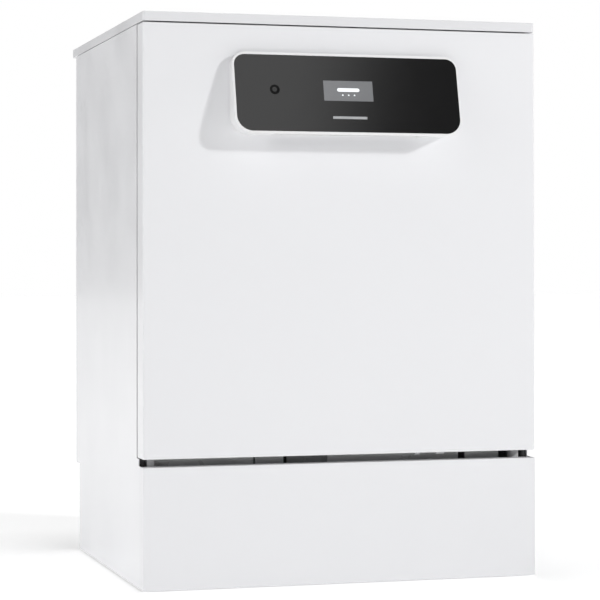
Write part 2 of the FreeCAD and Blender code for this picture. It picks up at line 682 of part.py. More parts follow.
def spray_arm(z, length):
    """Flat hollow bar with jets along its top and a running bore at the hub."""
    half = length / 2
    top = z + ARM_THICK
    bar = slab(-half, half, ARM_D - ARM_HALF_WIDE, ARM_D + ARM_HALF_WIDE, z, top)
    bar = round_edges(bar, ARM_HALF_WIDE - 1, "z")
    bar = round_edges(bar, 3, "x", lambda m: m.z > top - OVER)
    arm = fuse(bar, rod("z", HUB_R, (0, ARM_D, z), ARM_THICK + 2))
    jets = []
    for i in range(1, JETS + 1):
        for way in (-1, 1):
            reach = way * (half - 12) * i / (JETS + 0.5)
            jets.append(rod("z", JET_R, (reach + 6 * way, ARM_D + (i % 2) * 8 - 4, top - 2), 5))
    bore = rod("z", SPINDLE_R + RUNNING, (0, ARM_D, z - OVER), ARM_THICK + 5)
    return arm.cut(Part.makeCompound(jets)).cut(bore)


def lower_arm_hub():
    """Riser through the tub floor with the lower arm's spindle and nut."""
    base = LOWER_ARM_Z - 1
    riser = rod("z", HUB_RISER_R, (0, ARM_D, RISER_BOTTOM), base - RISER_BOTTOM)
    spindle = rod("z", SPINDLE_R, (0, ARM_D, base), ARM_THICK + 6)
    nut = rod("z", NUT_R, (0, ARM_D, LOWER_ARM_Z + ARM_THICK + 3.5), NUT_T)
    return fuse(riser, spindle, nut)


def hanging_spindle(arm_z, top):
    """Collar, spindle and nut that an arm hangs from."""
    collar_z = arm_z + ARM_THICK + 3
    collar = rod("z", COLLAR_R, (0, ARM_D, collar_z), top - collar_z)
    spindle = rod("z", SPINDLE_R, (0, ARM_D, arm_z - 5), ARM_THICK + 12)
    nut = rod("z", NUT_R, (0, ARM_D, arm_z - 5), NUT_T)
    return [collar, spindle, nut]


def upper_arm_feed():
    """Water tube clipped under the upper basket, with the arm's spindle."""
    start = ARM_D + 8
    pipe = tube("y", FEED_RUN_R, 2, (0, start, UPPER_Z - 9), BASKET_BACK - start)
    return fuse(pipe, *hanging_spindle(UPPER_ARM_Z, UPPER_Z - 1))


def feed_pipe():
    """Riser on the tub's back wall that turns forward under the roof to the top arm."""
    back = TUB_BACK - 11
    roof = TUB_TOP - 10
    top = roof + 9
    riser = rod("z", FEED_RISER_R, (0, back, TUB_FLOOR), top - TUB_FLOOR)
    run = rod("y", FEED_RUN_R, (0, ARM_D, roof), back - ARM_D)
    return fuse(riser, run, *hanging_spindle(TOP_ARM_Z, top))


# ---------------------------------------------------------------- baskets

def basket(half, front, z, tall):
    """Floor and four walls of one wire basket."""
    low, high = z + WIRE, z + tall
    side = grille(half - WIRE, half, front + WIRE, BASKET_BACK - WIRE, low, high, CELLS, CELLS_UP, "x")
    floor = grille(-half, half, front, BASKET_BACK, z, low, CELLS, CELLS, "z")
    ends = [grille(-half, half, d, d + WIRE, low, high, CELLS, CELLS_UP, "y")
            for d in (front, BASKET_BACK - WIRE)]
    return [floor] + pair(side) + ends


def basket_slide(x, tall):
    """One member of the upper basket's telescopic slides."""
    bar = slab(x, x + SLIDE_T, SLIDE_FRONT, SLIDE_BACK, SLIDE_Z - tall / 2, SLIDE_Z + tall / 2)
    return round_edges(bar, 0.8, "y")


def wheel_axle(d):
    """Hanger, collar and pin under the lower basket."""
    hanger = slab(LOWER_HALF - WIRE, LOWER_HALF, d - 10, d + 10, AXLE_Z - 8, LOWER_Z)
    pin = rod("x", AXLE_R, (LOWER_HALF, d, AXLE_Z), AXLE_LONG)
    collar = rod("x", WHEEL_HUB_R, (LOWER_HALF, d, AXLE_Z), 2.5)
    return fuse(hanger, pin, collar)


def wheel(d):
    """Moulded roller: tyre, thin web and hub on a running bore."""
    tyre = rod("x", WHEEL_R, (WHEEL_X, d, AXLE_Z), WHEEL_WIDE)
    tyre = tyre.makeFillet(1.5, [e for e in tyre.Edges if isinstance(e.Curve, Part.Circle)])
    rim = WHEEL_R - WHEEL_TYRE
    for x in (WHEEL_X - OVER, WHEEL_X + WHEEL_WIDE - 3):
        tyre = tyre.cut(tube("x", rim, rim - WHEEL_HUB_R - 0.5, (x, d, AXLE_Z), 3 + OVER))
    return tyre.cut(rod("x", AXLE_R + RUNNING, (LOWER_HALF - OVER, d, AXLE_Z), 20))


# ---------------------------------------------------------------- machinery under the tub

def circulation_pump():
    """Motor and volute lying under the arm hub, with the outlet that feeds it."""
    motor = rod("x", MOTOR_R, (30, ARM_D, PUMP_Z), 120)
    volute = rod("x", VOLUTE_R, (-22, ARM_D, PUMP_Z), 52)
    outlet_z = PUMP_Z + 40
    return fuse(motor, volute, rod("z", COLLAR_R, (0, ARM_D, outlet_z), RISER_BOTTOM - outlet_z))


def drain_pump():
    """Small pump beside the sump, its neck shaped to the sump's wall."""
    axis_z = PUMP_Z + 20
    body = rod("x", DRAIN_PUMP_R, (66, SUMP_D, axis_z), 70)
    neck = rod("x", 10, (40, SUMP_D, axis_z), 26)
    return fuse(body, neck.cut(rod("z", SUMP_R, (0, SUMP_D, 100), 110)))


def softener_tank():
    tank = round_edges(slab(*TANK), 18, "z")
    top = TANK[-1]
    neck = rod("z", SALT_R - 5 - CLEAR, (SALT_X, SALT_D, top), TUB_FLOOR + 2 - top)
    return fuse(tank, neck).cut(rod("z", SALT_R - SALT_WALL, (SALT_X, SALT_D, 150), 70))


def salt_cap():
    """Quarter-turn cap with a grip bar over the softener's salt neck."""
    rim = rod("z", SALT_R, (SALT_X, SALT_D, TUB_FLOOR + 2.4), 6)
    grip = slab(SALT_X - 20, SALT_X + 20, SALT_D - 3, SALT_D + 3, TUB_FLOOR + 8, TUB_FLOOR + 16)
    plug = rod("z", SALT_R - SALT_WALL - 0.4, (SALT_X, SALT_D, TUB_FLOOR - 12), 15)
    return fuse(rim, grip, plug)


def inlet_valve():
    """Solenoid valve with a threaded stub for the supply hose."""
    start = LOWER_BACK - 62
    coil = slab(INLET_X - 20, INLET_X + 20, start, start + 30, INLET_Z - 10, INLET_Z + 38)
    body = rod("y", 14, (INLET_X, start, INLET_Z), LOWER_BACK - start)
    return fuse(coil, body, tube("y", 13.2, 4, (INLET_X, LOWER_BACK, INLET_Z), 16))


def drain_spigot():
    """Collared outlet for the waste hose."""
    pipe = tube("y", 11, 2.5, (DRAIN_X, LOWER_BACK - 52, INLET_Z), 78)
    return fuse(pipe, tube("y", 16, 5.5, (DRAIN_X, LOWER_BACK - 1.5, INLET_Z), 3))


def cable_gland():
    """Round nut and neck that the mains lead passes through."""
    seat = LOWER_BACK - 1.5
    nut = tube("y", 14, 9.4, (GLAND_X, seat, INLET_Z), 9)
    return fuse(nut, tube("y", 9.2, 4.6, (GLAND_X, seat - 15.5, INLET_Z), 15.5))


def electronics_box():
    return round_edges(slab(*ELECTRONICS), 5, "z")


# ---------------------------------------------------------------- build

os.makedirs("parts", exist_ok=True)

save("lid", lid())
save("side_panel_right", side_panel())
save("side_panel_left", mirrored(side_panel()))
save("rear_panel", rear_panel())
rear_face = BODY_BACK - REAR_INSET + SHEET
save("rear_panel_screws", *[screw((x, rear_face, z), 4.5, 2.0, 8.0) for x, z in REAR_SCREWS])
save("base_tray", base_tray())
for side, end, x, d in foot_places():
    save("foot_" + end + "_" + side, foot(x, d))
save("chassis_frame", *chassis())
save("front_crossmember", front_crossmember())
save("corner_blocks", *pair(corner_block()))
save("plinth_panel", plinth_panel())

save("door_outer_panel", door_outer_panel())
save("door_inner_liner", door_inner_liner())
save("liner_screws", *[screw((x, DOOR_DEEP, z), 4.0, 1.2, 6.0) for x, z in LINER_SCREWS])
save("door_insulation", door_insulation())
save("hinge_arms", *pair(hinge_arm()))
save("hinge_pins", *pair(hinge_pin()))
save("hinge_brackets", *pair(hinge_bracket()))
save("control_housing", control_housing())
save("control_glass", control_glass())
save("display_screen", display_screen())
save("status_light", status_light())
save("power_button", power_button())
save("control_board", control_board())
save("door_lock_housing", door_lock_housing())
save("door_lock_bolt", door_lock_bolt())
save("dispenser_body", dispenser_body())
save("detergent_flap", detergent_flap())
save("rinse_aid_cap", rinse_aid_cap())

save("tub_frame", tub_frame())
save("tub_gasket", tub_gasket())
save("tub_wrapper", tub_wrapper())
save("tub_back", tub_back())
save("tub_floor", tub_floor(), *pair(basket_track()))
save("sump", sump())
save("filter_cartridge", filter_cartridge())
save("lower_arm_hub", lower_arm_hub())
save("upper_arm_feed", upper_arm_feed())
save("feed_pipe", feed_pipe())
for name, z in (("lower", LOWER_ARM_Z), ("upper", UPPER_ARM_Z), ("top", TOP_ARM_Z)):
    save(name + "_spray_arm", spray_arm(z, ARM_LENGTHS[name]))

save("upper_basket", *basket(UPPER_HALF, UPPER_FRONT, UPPER_Z, UPPER_TALL))
axles = [axle for d in WHEEL_D.values() for axle in pair(wheel_axle(d))]
save("lower_basket", *basket(LOWER_HALF, LOWER_FRONT, LOWER_Z, LOWER_TALL), *axles)
for name, x, tall in SLIDES:
    save("rails_" + name, *pair(basket_slide(x, tall)))
for end, d in WHEEL_D.items():
    save("wheels_" + end, *pair(wheel(d)))

save("circulation_pump", circulation_pump())
save("drain_pump", drain_pump())
save("softener_tank", softener_tank())
save("salt_cap", salt_cap())
save("inlet_valve", inlet_valve())
save("drain_spigot", drain_spigot())
save("cable_gland", cable_gland())
save("electronics_box", electronics_box())
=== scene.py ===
import json
import math

import bmesh
import bpy
from mathutils import Matrix, Vector


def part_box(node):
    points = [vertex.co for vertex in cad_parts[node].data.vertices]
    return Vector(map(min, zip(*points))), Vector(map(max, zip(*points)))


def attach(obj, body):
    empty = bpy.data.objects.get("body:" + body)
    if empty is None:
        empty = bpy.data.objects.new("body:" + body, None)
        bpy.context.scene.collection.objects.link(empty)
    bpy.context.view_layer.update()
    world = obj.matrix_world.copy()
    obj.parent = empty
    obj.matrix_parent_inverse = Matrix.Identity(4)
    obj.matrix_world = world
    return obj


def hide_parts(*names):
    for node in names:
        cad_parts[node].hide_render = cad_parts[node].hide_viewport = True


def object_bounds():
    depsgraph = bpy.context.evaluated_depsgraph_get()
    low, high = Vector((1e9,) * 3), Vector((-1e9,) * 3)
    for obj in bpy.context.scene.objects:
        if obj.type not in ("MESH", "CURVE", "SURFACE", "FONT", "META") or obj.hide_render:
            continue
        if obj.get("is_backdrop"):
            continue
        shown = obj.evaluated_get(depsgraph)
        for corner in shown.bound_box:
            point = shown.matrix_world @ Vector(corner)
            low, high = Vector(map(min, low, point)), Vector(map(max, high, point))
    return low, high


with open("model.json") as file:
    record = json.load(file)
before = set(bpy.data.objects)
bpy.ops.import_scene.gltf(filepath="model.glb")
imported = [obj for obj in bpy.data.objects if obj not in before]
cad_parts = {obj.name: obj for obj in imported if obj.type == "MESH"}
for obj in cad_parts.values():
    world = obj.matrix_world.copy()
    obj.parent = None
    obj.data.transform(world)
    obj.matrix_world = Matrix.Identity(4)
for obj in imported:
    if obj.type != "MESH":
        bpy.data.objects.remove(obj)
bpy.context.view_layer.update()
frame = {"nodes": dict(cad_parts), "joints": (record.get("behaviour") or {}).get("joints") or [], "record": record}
MM = 0.001

LENS = 134.77                       # millimetres on a 36 mm frame
EYE_X, EYE_AHEAD, EYE_Z = -0.9349, 3.1684, 0.46     # metres, EYE_AHEAD in front of the door's face
EYE_TURN = (16.852, 0.804, -0.096)  # degrees to the right, up, and of roll
SHIFT = -0.1                        # lens shift both ways, which keeps the photograph's framing

SURROUND_LEVEL = 0.135              # brightness of the surround all round
LEFT_LEVEL = 1.46                   # extra brightness far round to the machine's left
LEFT_EDGE = (-0.95, -0.3)
OVERHEAD_LEVEL = 0.06               # extra brightness overhead
OVERHEAD_EDGE = (0.72, 0.98)
BAND_HEIGHT = (0.2, 0.36, 0.58, 0.74)       # how high the screen and the flag stand in front
FLAG_LEVEL = 0.85                   # share of the surround left where a black flag stands, on the right
FLAG_SPAN = (-0.35, -0.15, 0.6, 0.8)
SCREEN_LEVEL = 1.05                 # extra brightness of the big soft screen in front
SCREEN_START = (-0.5, 0.0)
SCREEN_EDGE = (0.2505, 0.3055)
SCREEN_LEAN = 0.12
KEY_POWER = 285
KEY_FAR = 8.0
TOWARD_KEY = (0.741, -0.581, 0.337)
FILL_POWER = 0.3
TOP_POWER = 14
FLOOR_GLOW = (0.43, 0.66)           # the floor's own glow, painted light: near the machine, where it is dimmer as painted shade, and far from it
FLOOR_FADE = (0.7, 3.0)             # where it changes from one to the other, metres from the machine


# ---------------------------------------------------------------- camera, light and floor

def camera():
    """Long lens, from the machine's left and slightly below its middle."""
    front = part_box("door_outer_panel")[0].y
    azimuth, pitch, roll = (math.radians(turn) for turn in EYE_TURN)
    forward = Vector((math.sin(azimuth) * math.cos(pitch), math.cos(azimuth) * math.cos(pitch),
                      math.sin(pitch)))
    right = Vector((math.cos(azimuth), -math.sin(azimuth), 0))
    up = right.cross(forward)
    turned_right = right * math.cos(roll) + up * math.sin(roll)
    turned_up = up * math.cos(roll) - right * math.sin(roll)
    data = bpy.data.cameras.new("camera")
    data.lens = LENS
    data.sensor_width = 36.0
    data.shift_x = SHIFT
    data.shift_y = SHIFT
    eye = bpy.data.objects.new("camera", data)
    turn = Matrix((turned_right, turned_up, -forward)).transposed().to_4x4()
    eye.matrix_world = Matrix.Translation(Vector((EYE_X, front - EYE_AHEAD, EYE_Z))) @ turn
    bpy.context.scene.collection.objects.link(eye)
    bpy.context.scene.camera = eye


def area_light(name, place, aim, size, power):
    data = bpy.data.lights.new(name, "AREA")
    data.shape = "RECTANGLE"
    data.size, data.size_y = size
    data.energy = power
    lamp = bpy.data.objects.new(name, data)
    lamp.location = place
    lamp.rotation_mode = "QUATERNION"
    lamp.rotation_quaternion = (Vector(aim) - Vector(place)).to_track_quat("-Z", "Y")
    bpy.context.scene.collection.objects.link(lamp)


class Surround:
    """Shader nodes that shade the white surround by the direction that light comes from."""

    def __init__(self, tree):
        self.tree = tree
        split = tree.nodes.new("ShaderNodeSeparateXYZ")
        tree.links.new(tree.nodes.new("ShaderNodeTexCoord").outputs["Generated"], split.inputs[0])
        self.x, self.y, self.z = split.outputs

    def math(self, operation, *values):
        node = self.tree.nodes.new("ShaderNodeMath")
        node.operation = operation
        for socket, value in zip(node.inputs, values):
            if hasattr(value, "is_linked"):
                self.tree.links.new(value, socket)
            else:
                socket.default_value = value
        return node.outputs[0]

    def step(self, value, start, end):
        """0 before start and 1 after end, with a smooth change between them."""
        node = self.tree.nodes.new("ShaderNodeMapRange")
        node.interpolation_type = "SMOOTHSTEP"
        node.inputs["From Min"].default_value = start
        node.inputs["From Max"].default_value = end
        self.tree.links.new(value, node.inputs["Value"])
        return node.outputs[0]

    def window(self, value, start, full, fade, end):
        """0 outside start and end, 1 between full and fade."""
        rise = self.step(value, start, full)
        return self.math("MULTIPLY", rise, self.math("SUBTRACT", 1.0, self.step(value, fade, end)))


def surround():
    """Bright on the machine's left, with a soft screen and a black flag up in front of it."""
    world = bpy.data.worlds.new("studio")
    world.use_nodes = True
    tree = world.node_tree
    tree.nodes.clear()
    out = tree.nodes.new("ShaderNodeOutputWorld")
    shade = tree.nodes.new("ShaderNodeBackground")
    s = Surround(tree)
    in_front = s.math("SUBTRACT", 1.0, s.step(s.y, -0.35, -0.1))
    band = s.math("MULTIPLY", s.window(s.z, *BAND_HEIGHT), in_front)
    flag = s.math("MULTIPLY", band, s.window(s.x, *FLAG_SPAN))
    level = s.math("SUBTRACT", 1.0, s.math("MULTIPLY", flag, 1 - FLAG_LEVEL))
    level = s.math("MULTIPLY", level, SURROUND_LEVEL)
    left = s.math("SUBTRACT", 1.0, s.step(s.x, *LEFT_EDGE))
    level = s.math("ADD", level, s.math("MULTIPLY", left, LEFT_LEVEL))
    level = s.math("ADD", level, s.math("MULTIPLY", s.step(s.z, *OVERHEAD_EDGE), OVERHEAD_LEVEL))
    leaning = s.math("SUBTRACT", s.x, s.math("MULTIPLY", s.math("SUBTRACT", s.z, 0.45), SCREEN_LEAN))
    screen = s.math("MULTIPLY", band, s.window(leaning, *SCREEN_START, *SCREEN_EDGE))
    level = s.math("ADD", level, s.math("MULTIPLY", screen, SCREEN_LEVEL))
    shade.inputs["Color"].default_value = (1, 1, 1, 1)
    seen = tree.nodes.new("ShaderNodeLightPath").outputs["Is Camera Ray"]
    level = s.math("MAXIMUM", level, seen)
    tree.links.new(level, shade.inputs["Strength"])
    tree.links.new(shade.outputs[0], out.inputs[0])
    bpy.context.scene.world = world


def studio():
    """White surround, a small key light far out on the right, and a pale floor with a painted glow."""
    surround()
    bpy.context.scene.view_settings.view_transform = "Standard"
    aim = Vector((0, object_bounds()[0].y, 0.72))
    area_light("key", aim + Vector(TOWARD_KEY) * KEY_FAR, aim, (0.6, 0.6), KEY_POWER)
    area_light("low_fill", (-1.5, -0.6, 0.15), (-0.3, 0, 0.05), (1.6, 0.5), FILL_POWER)
    area_light("top", (0, 0.08, 2.6), (0, 0.08, 0), (0.56, 0.6), TOP_POWER)
    data = bpy.data.meshes.new("floor")
    work = bmesh.new()
    bmesh.ops.create_grid(work, x_segments=1, y_segments=1, size=40)
    work.to_mesh(data)
    work.free()
    ground = bpy.data.objects.new("floor", data)
    bpy.context.scene.collection.objects.link(ground)
    ground.data.materials.append(painted_glow_floor())
    ground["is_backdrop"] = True


def painted_glow_floor():
    """Matt white paper with a painted glow of its own, dimmer near the machine as painted shade and brighter away
    from it.
    """
    look, tree, shader = blank("floor_painted_glow")
    n = Nodes(tree)
    n.link(n.mix(n.spread(n.noise(0.6), 0, 1), (0.93, 0.93, 0.93), (0.91, 0.91, 0.91)),
           shader.inputs["Base Color"])
    away = tree.nodes.new("ShaderNodeVectorMath")
    away.operation = "LENGTH"
    n.link(n.place, away.inputs[0])
    # painted light: the floor glows, less near the machine as painted shade
    n.link(n.spread(away.outputs["Value"], *FLOOR_GLOW, *FLOOR_FADE), shader.inputs["Emission Strength"])
    shader.inputs["Emission Color"].default_value = (1, 1, 1, 1)
    shader.inputs["Roughness"].default_value = 0.9
    return look


# ---------------------------------------------------------------- materials

def blank(name):
    look = bpy.data.materials.new(name)
    look.use_nodes = True
    tree = look.node_tree
    tree.nodes.clear()
    out = tree.nodes.new("ShaderNodeOutputMaterial")
    shader = tree.nodes.new("ShaderNodeBsdfPrincipled")
    tree.links.new(shader.outputs[0], out.inputs["Surface"])
    return look, tree, shader


class Nodes:
    """Short forms for the shader nodes that the materials share."""

    def __init__(self, tree):
        self.tree = tree
        self.place = tree.nodes.new("ShaderNodeTexCoord").outputs["Object"]

    def link(self, source, target):
        self.tree.links.new(source, target)

    def scaled(self, scale):
        node = self.tree.nodes.new("ShaderNodeMapping")
        node.inputs["Scale"].default_value = scale
        self.link(self.place, node.inputs["Vector"])
        return node.outputs[0]

    def noise(self, scale, detail=4.0, rough=0.5, where=None):
        node = self.tree.nodes.new("ShaderNodeTexNoise")
        node.inputs["Scale"].default_value = scale
        node.inputs["Detail"].default_value = detail
        node.inputs["Roughness"].default_value = rough
        self.link(where or self.place, node.inputs["Vector"])
        return node.outputs["Fac"]

    def spread(self, value, low, high, from_low=0.3, from_high=0.7):
        node = self.tree.nodes.new("ShaderNodeMapRange")
        for socket, number in zip(("From Min", "From Max", "To Min", "To Max"),
                                  (from_low, from_high, low, high)):
            node.inputs[socket].default_value = number
        self.link(value, node.inputs["Value"])
        return node.outputs[0]

    def mix(self, factor, first, second):
        node = self.tree.nodes.new("ShaderNodeMix")
        node.data_type = "RGBA"
        self.link(factor, node.inputs[0])
        for index, value in ((6, first), (7, second)):
            if hasattr(value, "is_linked"):
                self.link(value, node.inputs[index])
            else:
                node.inputs[index].default_value = (*value, 1)
        return node.outputs[2]

    def bump(self, height, strength, depth):
        node = self.tree.nodes.new("ShaderNodeBump")
        node.inputs["Strength"].default_value = strength
        node.inputs["Distance"].default_value = depth
        self.link(height, node.inputs["Height"])
        return node.outputs[0]

    def edges(self, radius):
        """1 on worn outer edges, 0 on flats: how far a bevelled normal leaves the true one."""
        bevel = self.tree.nodes.new("ShaderNodeBevel")
        bevel.inputs["Radius"].default_value = radius
        bevel.samples = 4
        true = self.tree.nodes.new("ShaderNodeNewGeometry").outputs["Normal"]
        dot = self.tree.nodes.new("ShaderNodeVectorMath")
        dot.operation = "DOT_PRODUCT"
        self.link(bevel.outputs[0], dot.inputs[0])
        self.link(true, dot.inputs[1])
        return self.spread(dot.outputs["Value"], 1.0, 0.0, 0.75, 0.98)


def tinted(colour, factor):
    return tuple(min(1.0, c * factor) for c in colour)


def finish_look(name, colour, rough, metal=0.0, grain=400.0, grain_depth=0.00002, grain_strength=0.15,
                patch=3.0, patch_tint=0.96, wear=0.0, wear_tint=1.12, coat=0.0, specular=0.5, stretch=None):
    """One moulded, painted or metal finish: colour patches, varied gloss, grain and worn edges."""
    look, tree, shader = blank(name)
    n = Nodes(tree)
    patches = n.noise(patch, 3.0)
    colours = n.mix(n.spread(patches, 0, 1), colour, tinted(colour, patch_tint))
    if wear:
        colours = n.mix(n.spread(n.edges(wear), 0.0, 0.5, 0.0, 1.0), colours, tinted(colour, wear_tint))
    n.link(colours, shader.inputs["Base Color"])
    fine = n.noise(grain, 3.0, where=n.scaled(stretch) if stretch else None)
    smear = n.noise(patch * 4, 2.0)
    n.link(n.spread(smear, rough * 0.85, min(1.0, rough * 1.2)), shader.inputs["Roughness"])
    n.link(n.bump(fine, grain_strength, grain_depth), shader.inputs["Normal"])
    shader.inputs["Metallic"].default_value = metal
    shader.inputs["Specular IOR Level"].default_value = specular
    if coat:
        shader.inputs["Coat Weight"].default_value = coat
        shader.inputs["Coat Roughness"].default_value = 0.12
    return look


def enamel(name="white_enamel", shade=1.0):
    return finish_look(name, tinted((0.775, 0.778, 0.795), shade), 0.38, grain=260.0, grain_depth=0.00003,
                       grain_strength=0.10, patch=2.2, patch_tint=0.985, wear=0.0012, coat=0.25)


LOOKS = {
    "white_steel": enamel,
    "white_plastic": lambda: finish_look("white_moulding", (0.81, 0.81, 0.815), 0.42, grain=900.0,
                                         patch_tint=0.985, wear=0.0015),
    "zinc_steel": lambda: finish_look("zinc_sheet", (0.52, 0.53, 0.545), 0.42, metal=0.9, grain=90.0,
                                      grain_strength=0.2, patch=26.0, patch_tint=0.82, wear=0.001),
    "stainless": lambda: finish_look("brushed_stainless", (0.62, 0.625, 0.63), 0.30, metal=1.0, grain=60.0,
                                     grain_strength=0.12, patch=5.0, patch_tint=0.93, wear=0.001,
                                     stretch=(1.0, 1.0, 40.0)),
    "stainless_wire": lambda: finish_look("polished_wire", (0.70, 0.705, 0.71), 0.22, metal=1.0, grain=300.0,
                                          patch=14.0, patch_tint=0.9),
    "black_glass": lambda: finish_look("black_glass", (0.004, 0.004, 0.0042), 0.06, grain=30.0,
                                       grain_strength=0.02, patch=9.0, patch_tint=1.3, coat=0.4),
    "lcd": lambda: finish_look("display_grey", (0.19, 0.195, 0.205), 0.12, grain=1500.0, patch=12.0,
                               patch_tint=0.85, coat=0.8, specular=0.9),
    "light_lens": lambda: finish_look("frosted_lens", (0.42, 0.43, 0.44), 0.35, grain=1200.0, patch=40.0,
                                      patch_tint=0.9),
    "button_black": lambda: finish_look("button_black", (0.02, 0.02, 0.0205), 0.25, grain=900.0,
                                        patch=60.0, patch_tint=1.3, wear=0.0006, wear_tint=3.0),
    "black_plastic": lambda: finish_look("black_moulding", (0.02, 0.02, 0.021), 0.5, grain=1100.0,
                                         grain_strength=0.3, patch=12.0, patch_tint=1.4, wear=0.001,
                                         wear_tint=2.5),
    "grey_plastic": lambda: finish_look("grey_moulding", (0.20, 0.205, 0.21), 0.45, grain=900.0, patch=10.0,
                                        patch_tint=0.88, wear=0.001, wear_tint=1.35),
    "light_plastic": lambda: finish_look("pale_moulding", (0.52, 0.53, 0.54), 0.42, grain=900.0, patch=9.0,
                                         patch_tint=0.93, wear=0.001),
    "blue_plastic": lambda: finish_look("blue_moulding", (0.03, 0.10, 0.26), 0.38, grain=900.0, patch=30.0,
                                        patch_tint=0.85, wear=0.001, wear_tint=1.5),
    "rubber_seal": lambda: finish_look("seal_rubber", (0.018, 0.018, 0.019), 0.62, grain=700.0,
                                       grain_strength=0.3, patch=20.0, patch_tint=1.5),
    "bitumen_mat": lambda: finish_look("sound_mat", (0.05, 0.047, 0.044), 0.9, grain=500.0,
                                       grain_depth=0.0003, grain_strength=0.6, patch=30.0, patch_tint=0.7),
    "circuit_board": lambda: finish_look("circuit_board", (0.01, 0.09, 0.035), 0.35, grain=300.0, patch=90.0,
                                         patch_tint=0.6),
    "screw_steel": lambda: finish_look("plated_steel", (0.60, 0.60, 0.61), 0.25, metal=1.0, grain=200.0,
                                       patch=90.0, patch_tint=0.8, wear=0.0005),
}
SLOT_LOOKS = {name: make() for name, make in LOOKS.items()}


BUTTON_GLOSS_R = 0.0036         # glossy middle of the power button, metres
PRESS = next(joint for joint in frame["joints"] if joint["name"] == "power_button_press")
INTO = Vector(PRESS["axis"])                        # into the glass, square to it
OUT = -INTO
UP = Vector((0, -INTO.z, INTO.y))                   # up along the glass


def button_look(node):
    """Black cap: a matt ring round a glossy middle."""
    look, tree, shader = blank("button_cap")
    n = Nodes(tree)
    low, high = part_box("power_button")
    to_object = node.matrix_world.inverted()
    centre = to_object @ ((low + high) / 2)
    along = (to_object.to_3x3() @ OUT).normalized()
    offset = tree.nodes.new("ShaderNodeVectorMath")
    offset.operation = "SUBTRACT"
    n.link(n.place, offset.inputs[0])
    offset.inputs[1].default_value = centre
    cross = tree.nodes.new("ShaderNodeVectorMath")
    cross.operation = "CROSS_PRODUCT"
    n.link(offset.outputs[0], cross.inputs[0])
    cross.inputs[1].default_value = along
    radius = tree.nodes.new("ShaderNodeVectorMath")
    radius.operation = "LENGTH"
    n.link(cross.outputs[0], radius.inputs[0])
    ring = n.spread(radius.outputs["Value"], 0.0, 1.0, BUTTON_GLOSS_R - 0.0004, BUTTON_GLOSS_R + 0.0004)
    n.link(n.mix(ring, (0.010, 0.010, 0.0103), (0.006, 0.006, 0.0062)), shader.inputs["Base Color"])
    smear = n.spread(n.noise(500.0), 0.92, 1.08)
    rough = tree.nodes.new("ShaderNodeMath")
    rough.operation = "MULTIPLY"
    n.link(n.spread(ring, 0.12, 0.75, 0.0, 1.0), rough.inputs[0])
    n.link(smear, rough.inputs[1])
    n.link(rough.outputs[0], shader.inputs["Roughness"])
    n.link(n.spread(ring, 0.6, 0.15, 0.0, 1.0), shader.inputs["Specular IOR Level"])
    n.link(n.bump(n.noise(1400.0), 0.15, 0.00002), shader.inputs["Normal"])
    return look


def dress_cad_nodes():
    """Every CAD node takes the look of its material slot; three have a look of their own."""
    slots = {part["node"]: part["material_slot"] for part in frame["record"]["subparts"]}
    own = {"lid": enamel("lid_enamel", 0.93),
           "power_button": button_look(frame["nodes"]["power_button"]),
           # the crossmember is coloured far paler than its galvanized steel: painted light for the light that
           # reaches into the slot
           "front_crossmember": finish_look("crossmember_painted_light", (0.86, 0.865, 0.87), 0.3, metal=0.12, grain=500.0,
                                            patch=14.0, patch_tint=0.88, wear=0.001)}
    for name, node in frame["nodes"].items():
        node.data.materials.clear()
        node.data.materials.append(own.get(name) or SLOT_LOOKS[slots[name]])


# ---------------------------------------------------------------- mesh helpers

def rounded(points, radius, closed=False, steps=5):
    """The same path with every corner turned into a bend."""
    path = []
    count = len(points)
    for i, corner in enumerate(points):
        if not closed and i in (0, count - 1):
            path.append(corner)
            continue
        back = points[i - 1] - corner
        ahead = points[(i + 1) % count] - corner
        reach = min(radius, back.length * 0.49, ahead.length * 0.49)
        first = corner + back.normalized() * reach
        last = corner + ahead.normalized() * reach
        for k in range(steps + 1):
            t = k / steps
            path.append(first * (1 - t) ** 2 + corner * 2 * t * (1 - t) + last * t ** 2)
    return path


def wire(work, path, radius, closed=False, sides=8):
    """Adds a round wire along a path to a mesh in the making."""
    count = len(path)
    across = None
    rings = []
    for i, point in enumerate(path):
        before = path[i - 1] if i or closed else point
        after = path[(i + 1) % count] if i < count - 1 or closed else point
        along = (after - before).normalized()
        if across is None:
            across = along.orthogonal()
        across = (across - along * across.dot(along)).normalized()
        side = along.cross(across)
        turns = [2 * math.pi * k / sides for k in range(sides)]
        rings.append([work.verts.new(point + (across * math.cos(a) + side * math.sin(a)) * radius)
                      for a in turns])
    pairs = list(zip(rings, rings[1:]))
    if closed:
        pairs.append((rings[-1], rings[0]))
    else:
        work.faces.new(rings[0][::-1])
        work.faces.new(rings[-1])
    for first, second in pairs:
        for k in range(sides):
            j = (k + 1) % sides
            work.faces.new((first[k], first[j], second[j], second[k]))


def lathe(work, profile, centre, axis, steps=48):
    """Adds a closed turned shape: profile is (radius, height along the axis) all the way round."""
    axis = Vector(axis).normalized()
    across = axis.orthogonal().normalized()
    side = axis.cross(across)
    rings = []
    for k in range(steps):
        turn = 2 * math.pi * k / steps
        out = across * math.cos(turn) + side * math.sin(turn)
        rings.append([work.verts.new(centre + out * r + axis * h) for r, h in profile])
    for k in range(steps):
        first, second = rings[k], rings[(k + 1) % steps]
        for i in range(len(profile)):
            j = (i + 1) % len(profile)
            work.faces.new((first[i], first[j], second[j], second[i]))


def soft_block(work, low, high, bevel, steps=3):
    """Adds a block with every edge rounded, between two corners."""
    low, high = Vector(low), Vector(high)
    made = bmesh.ops.create_cube(work, size=1)["verts"]
    middle, size = (low + high) / 2, high - low
    for vert in made:
        vert.co = middle + Vector([a * b for a, b in zip(vert.co, size)])
    edges = {edge for vert in made for edge in vert.link_edges}
    bmesh.ops.bevel(work, geom=list(edges), offset=bevel, segments=steps, profile=0.5, affect="EDGES")


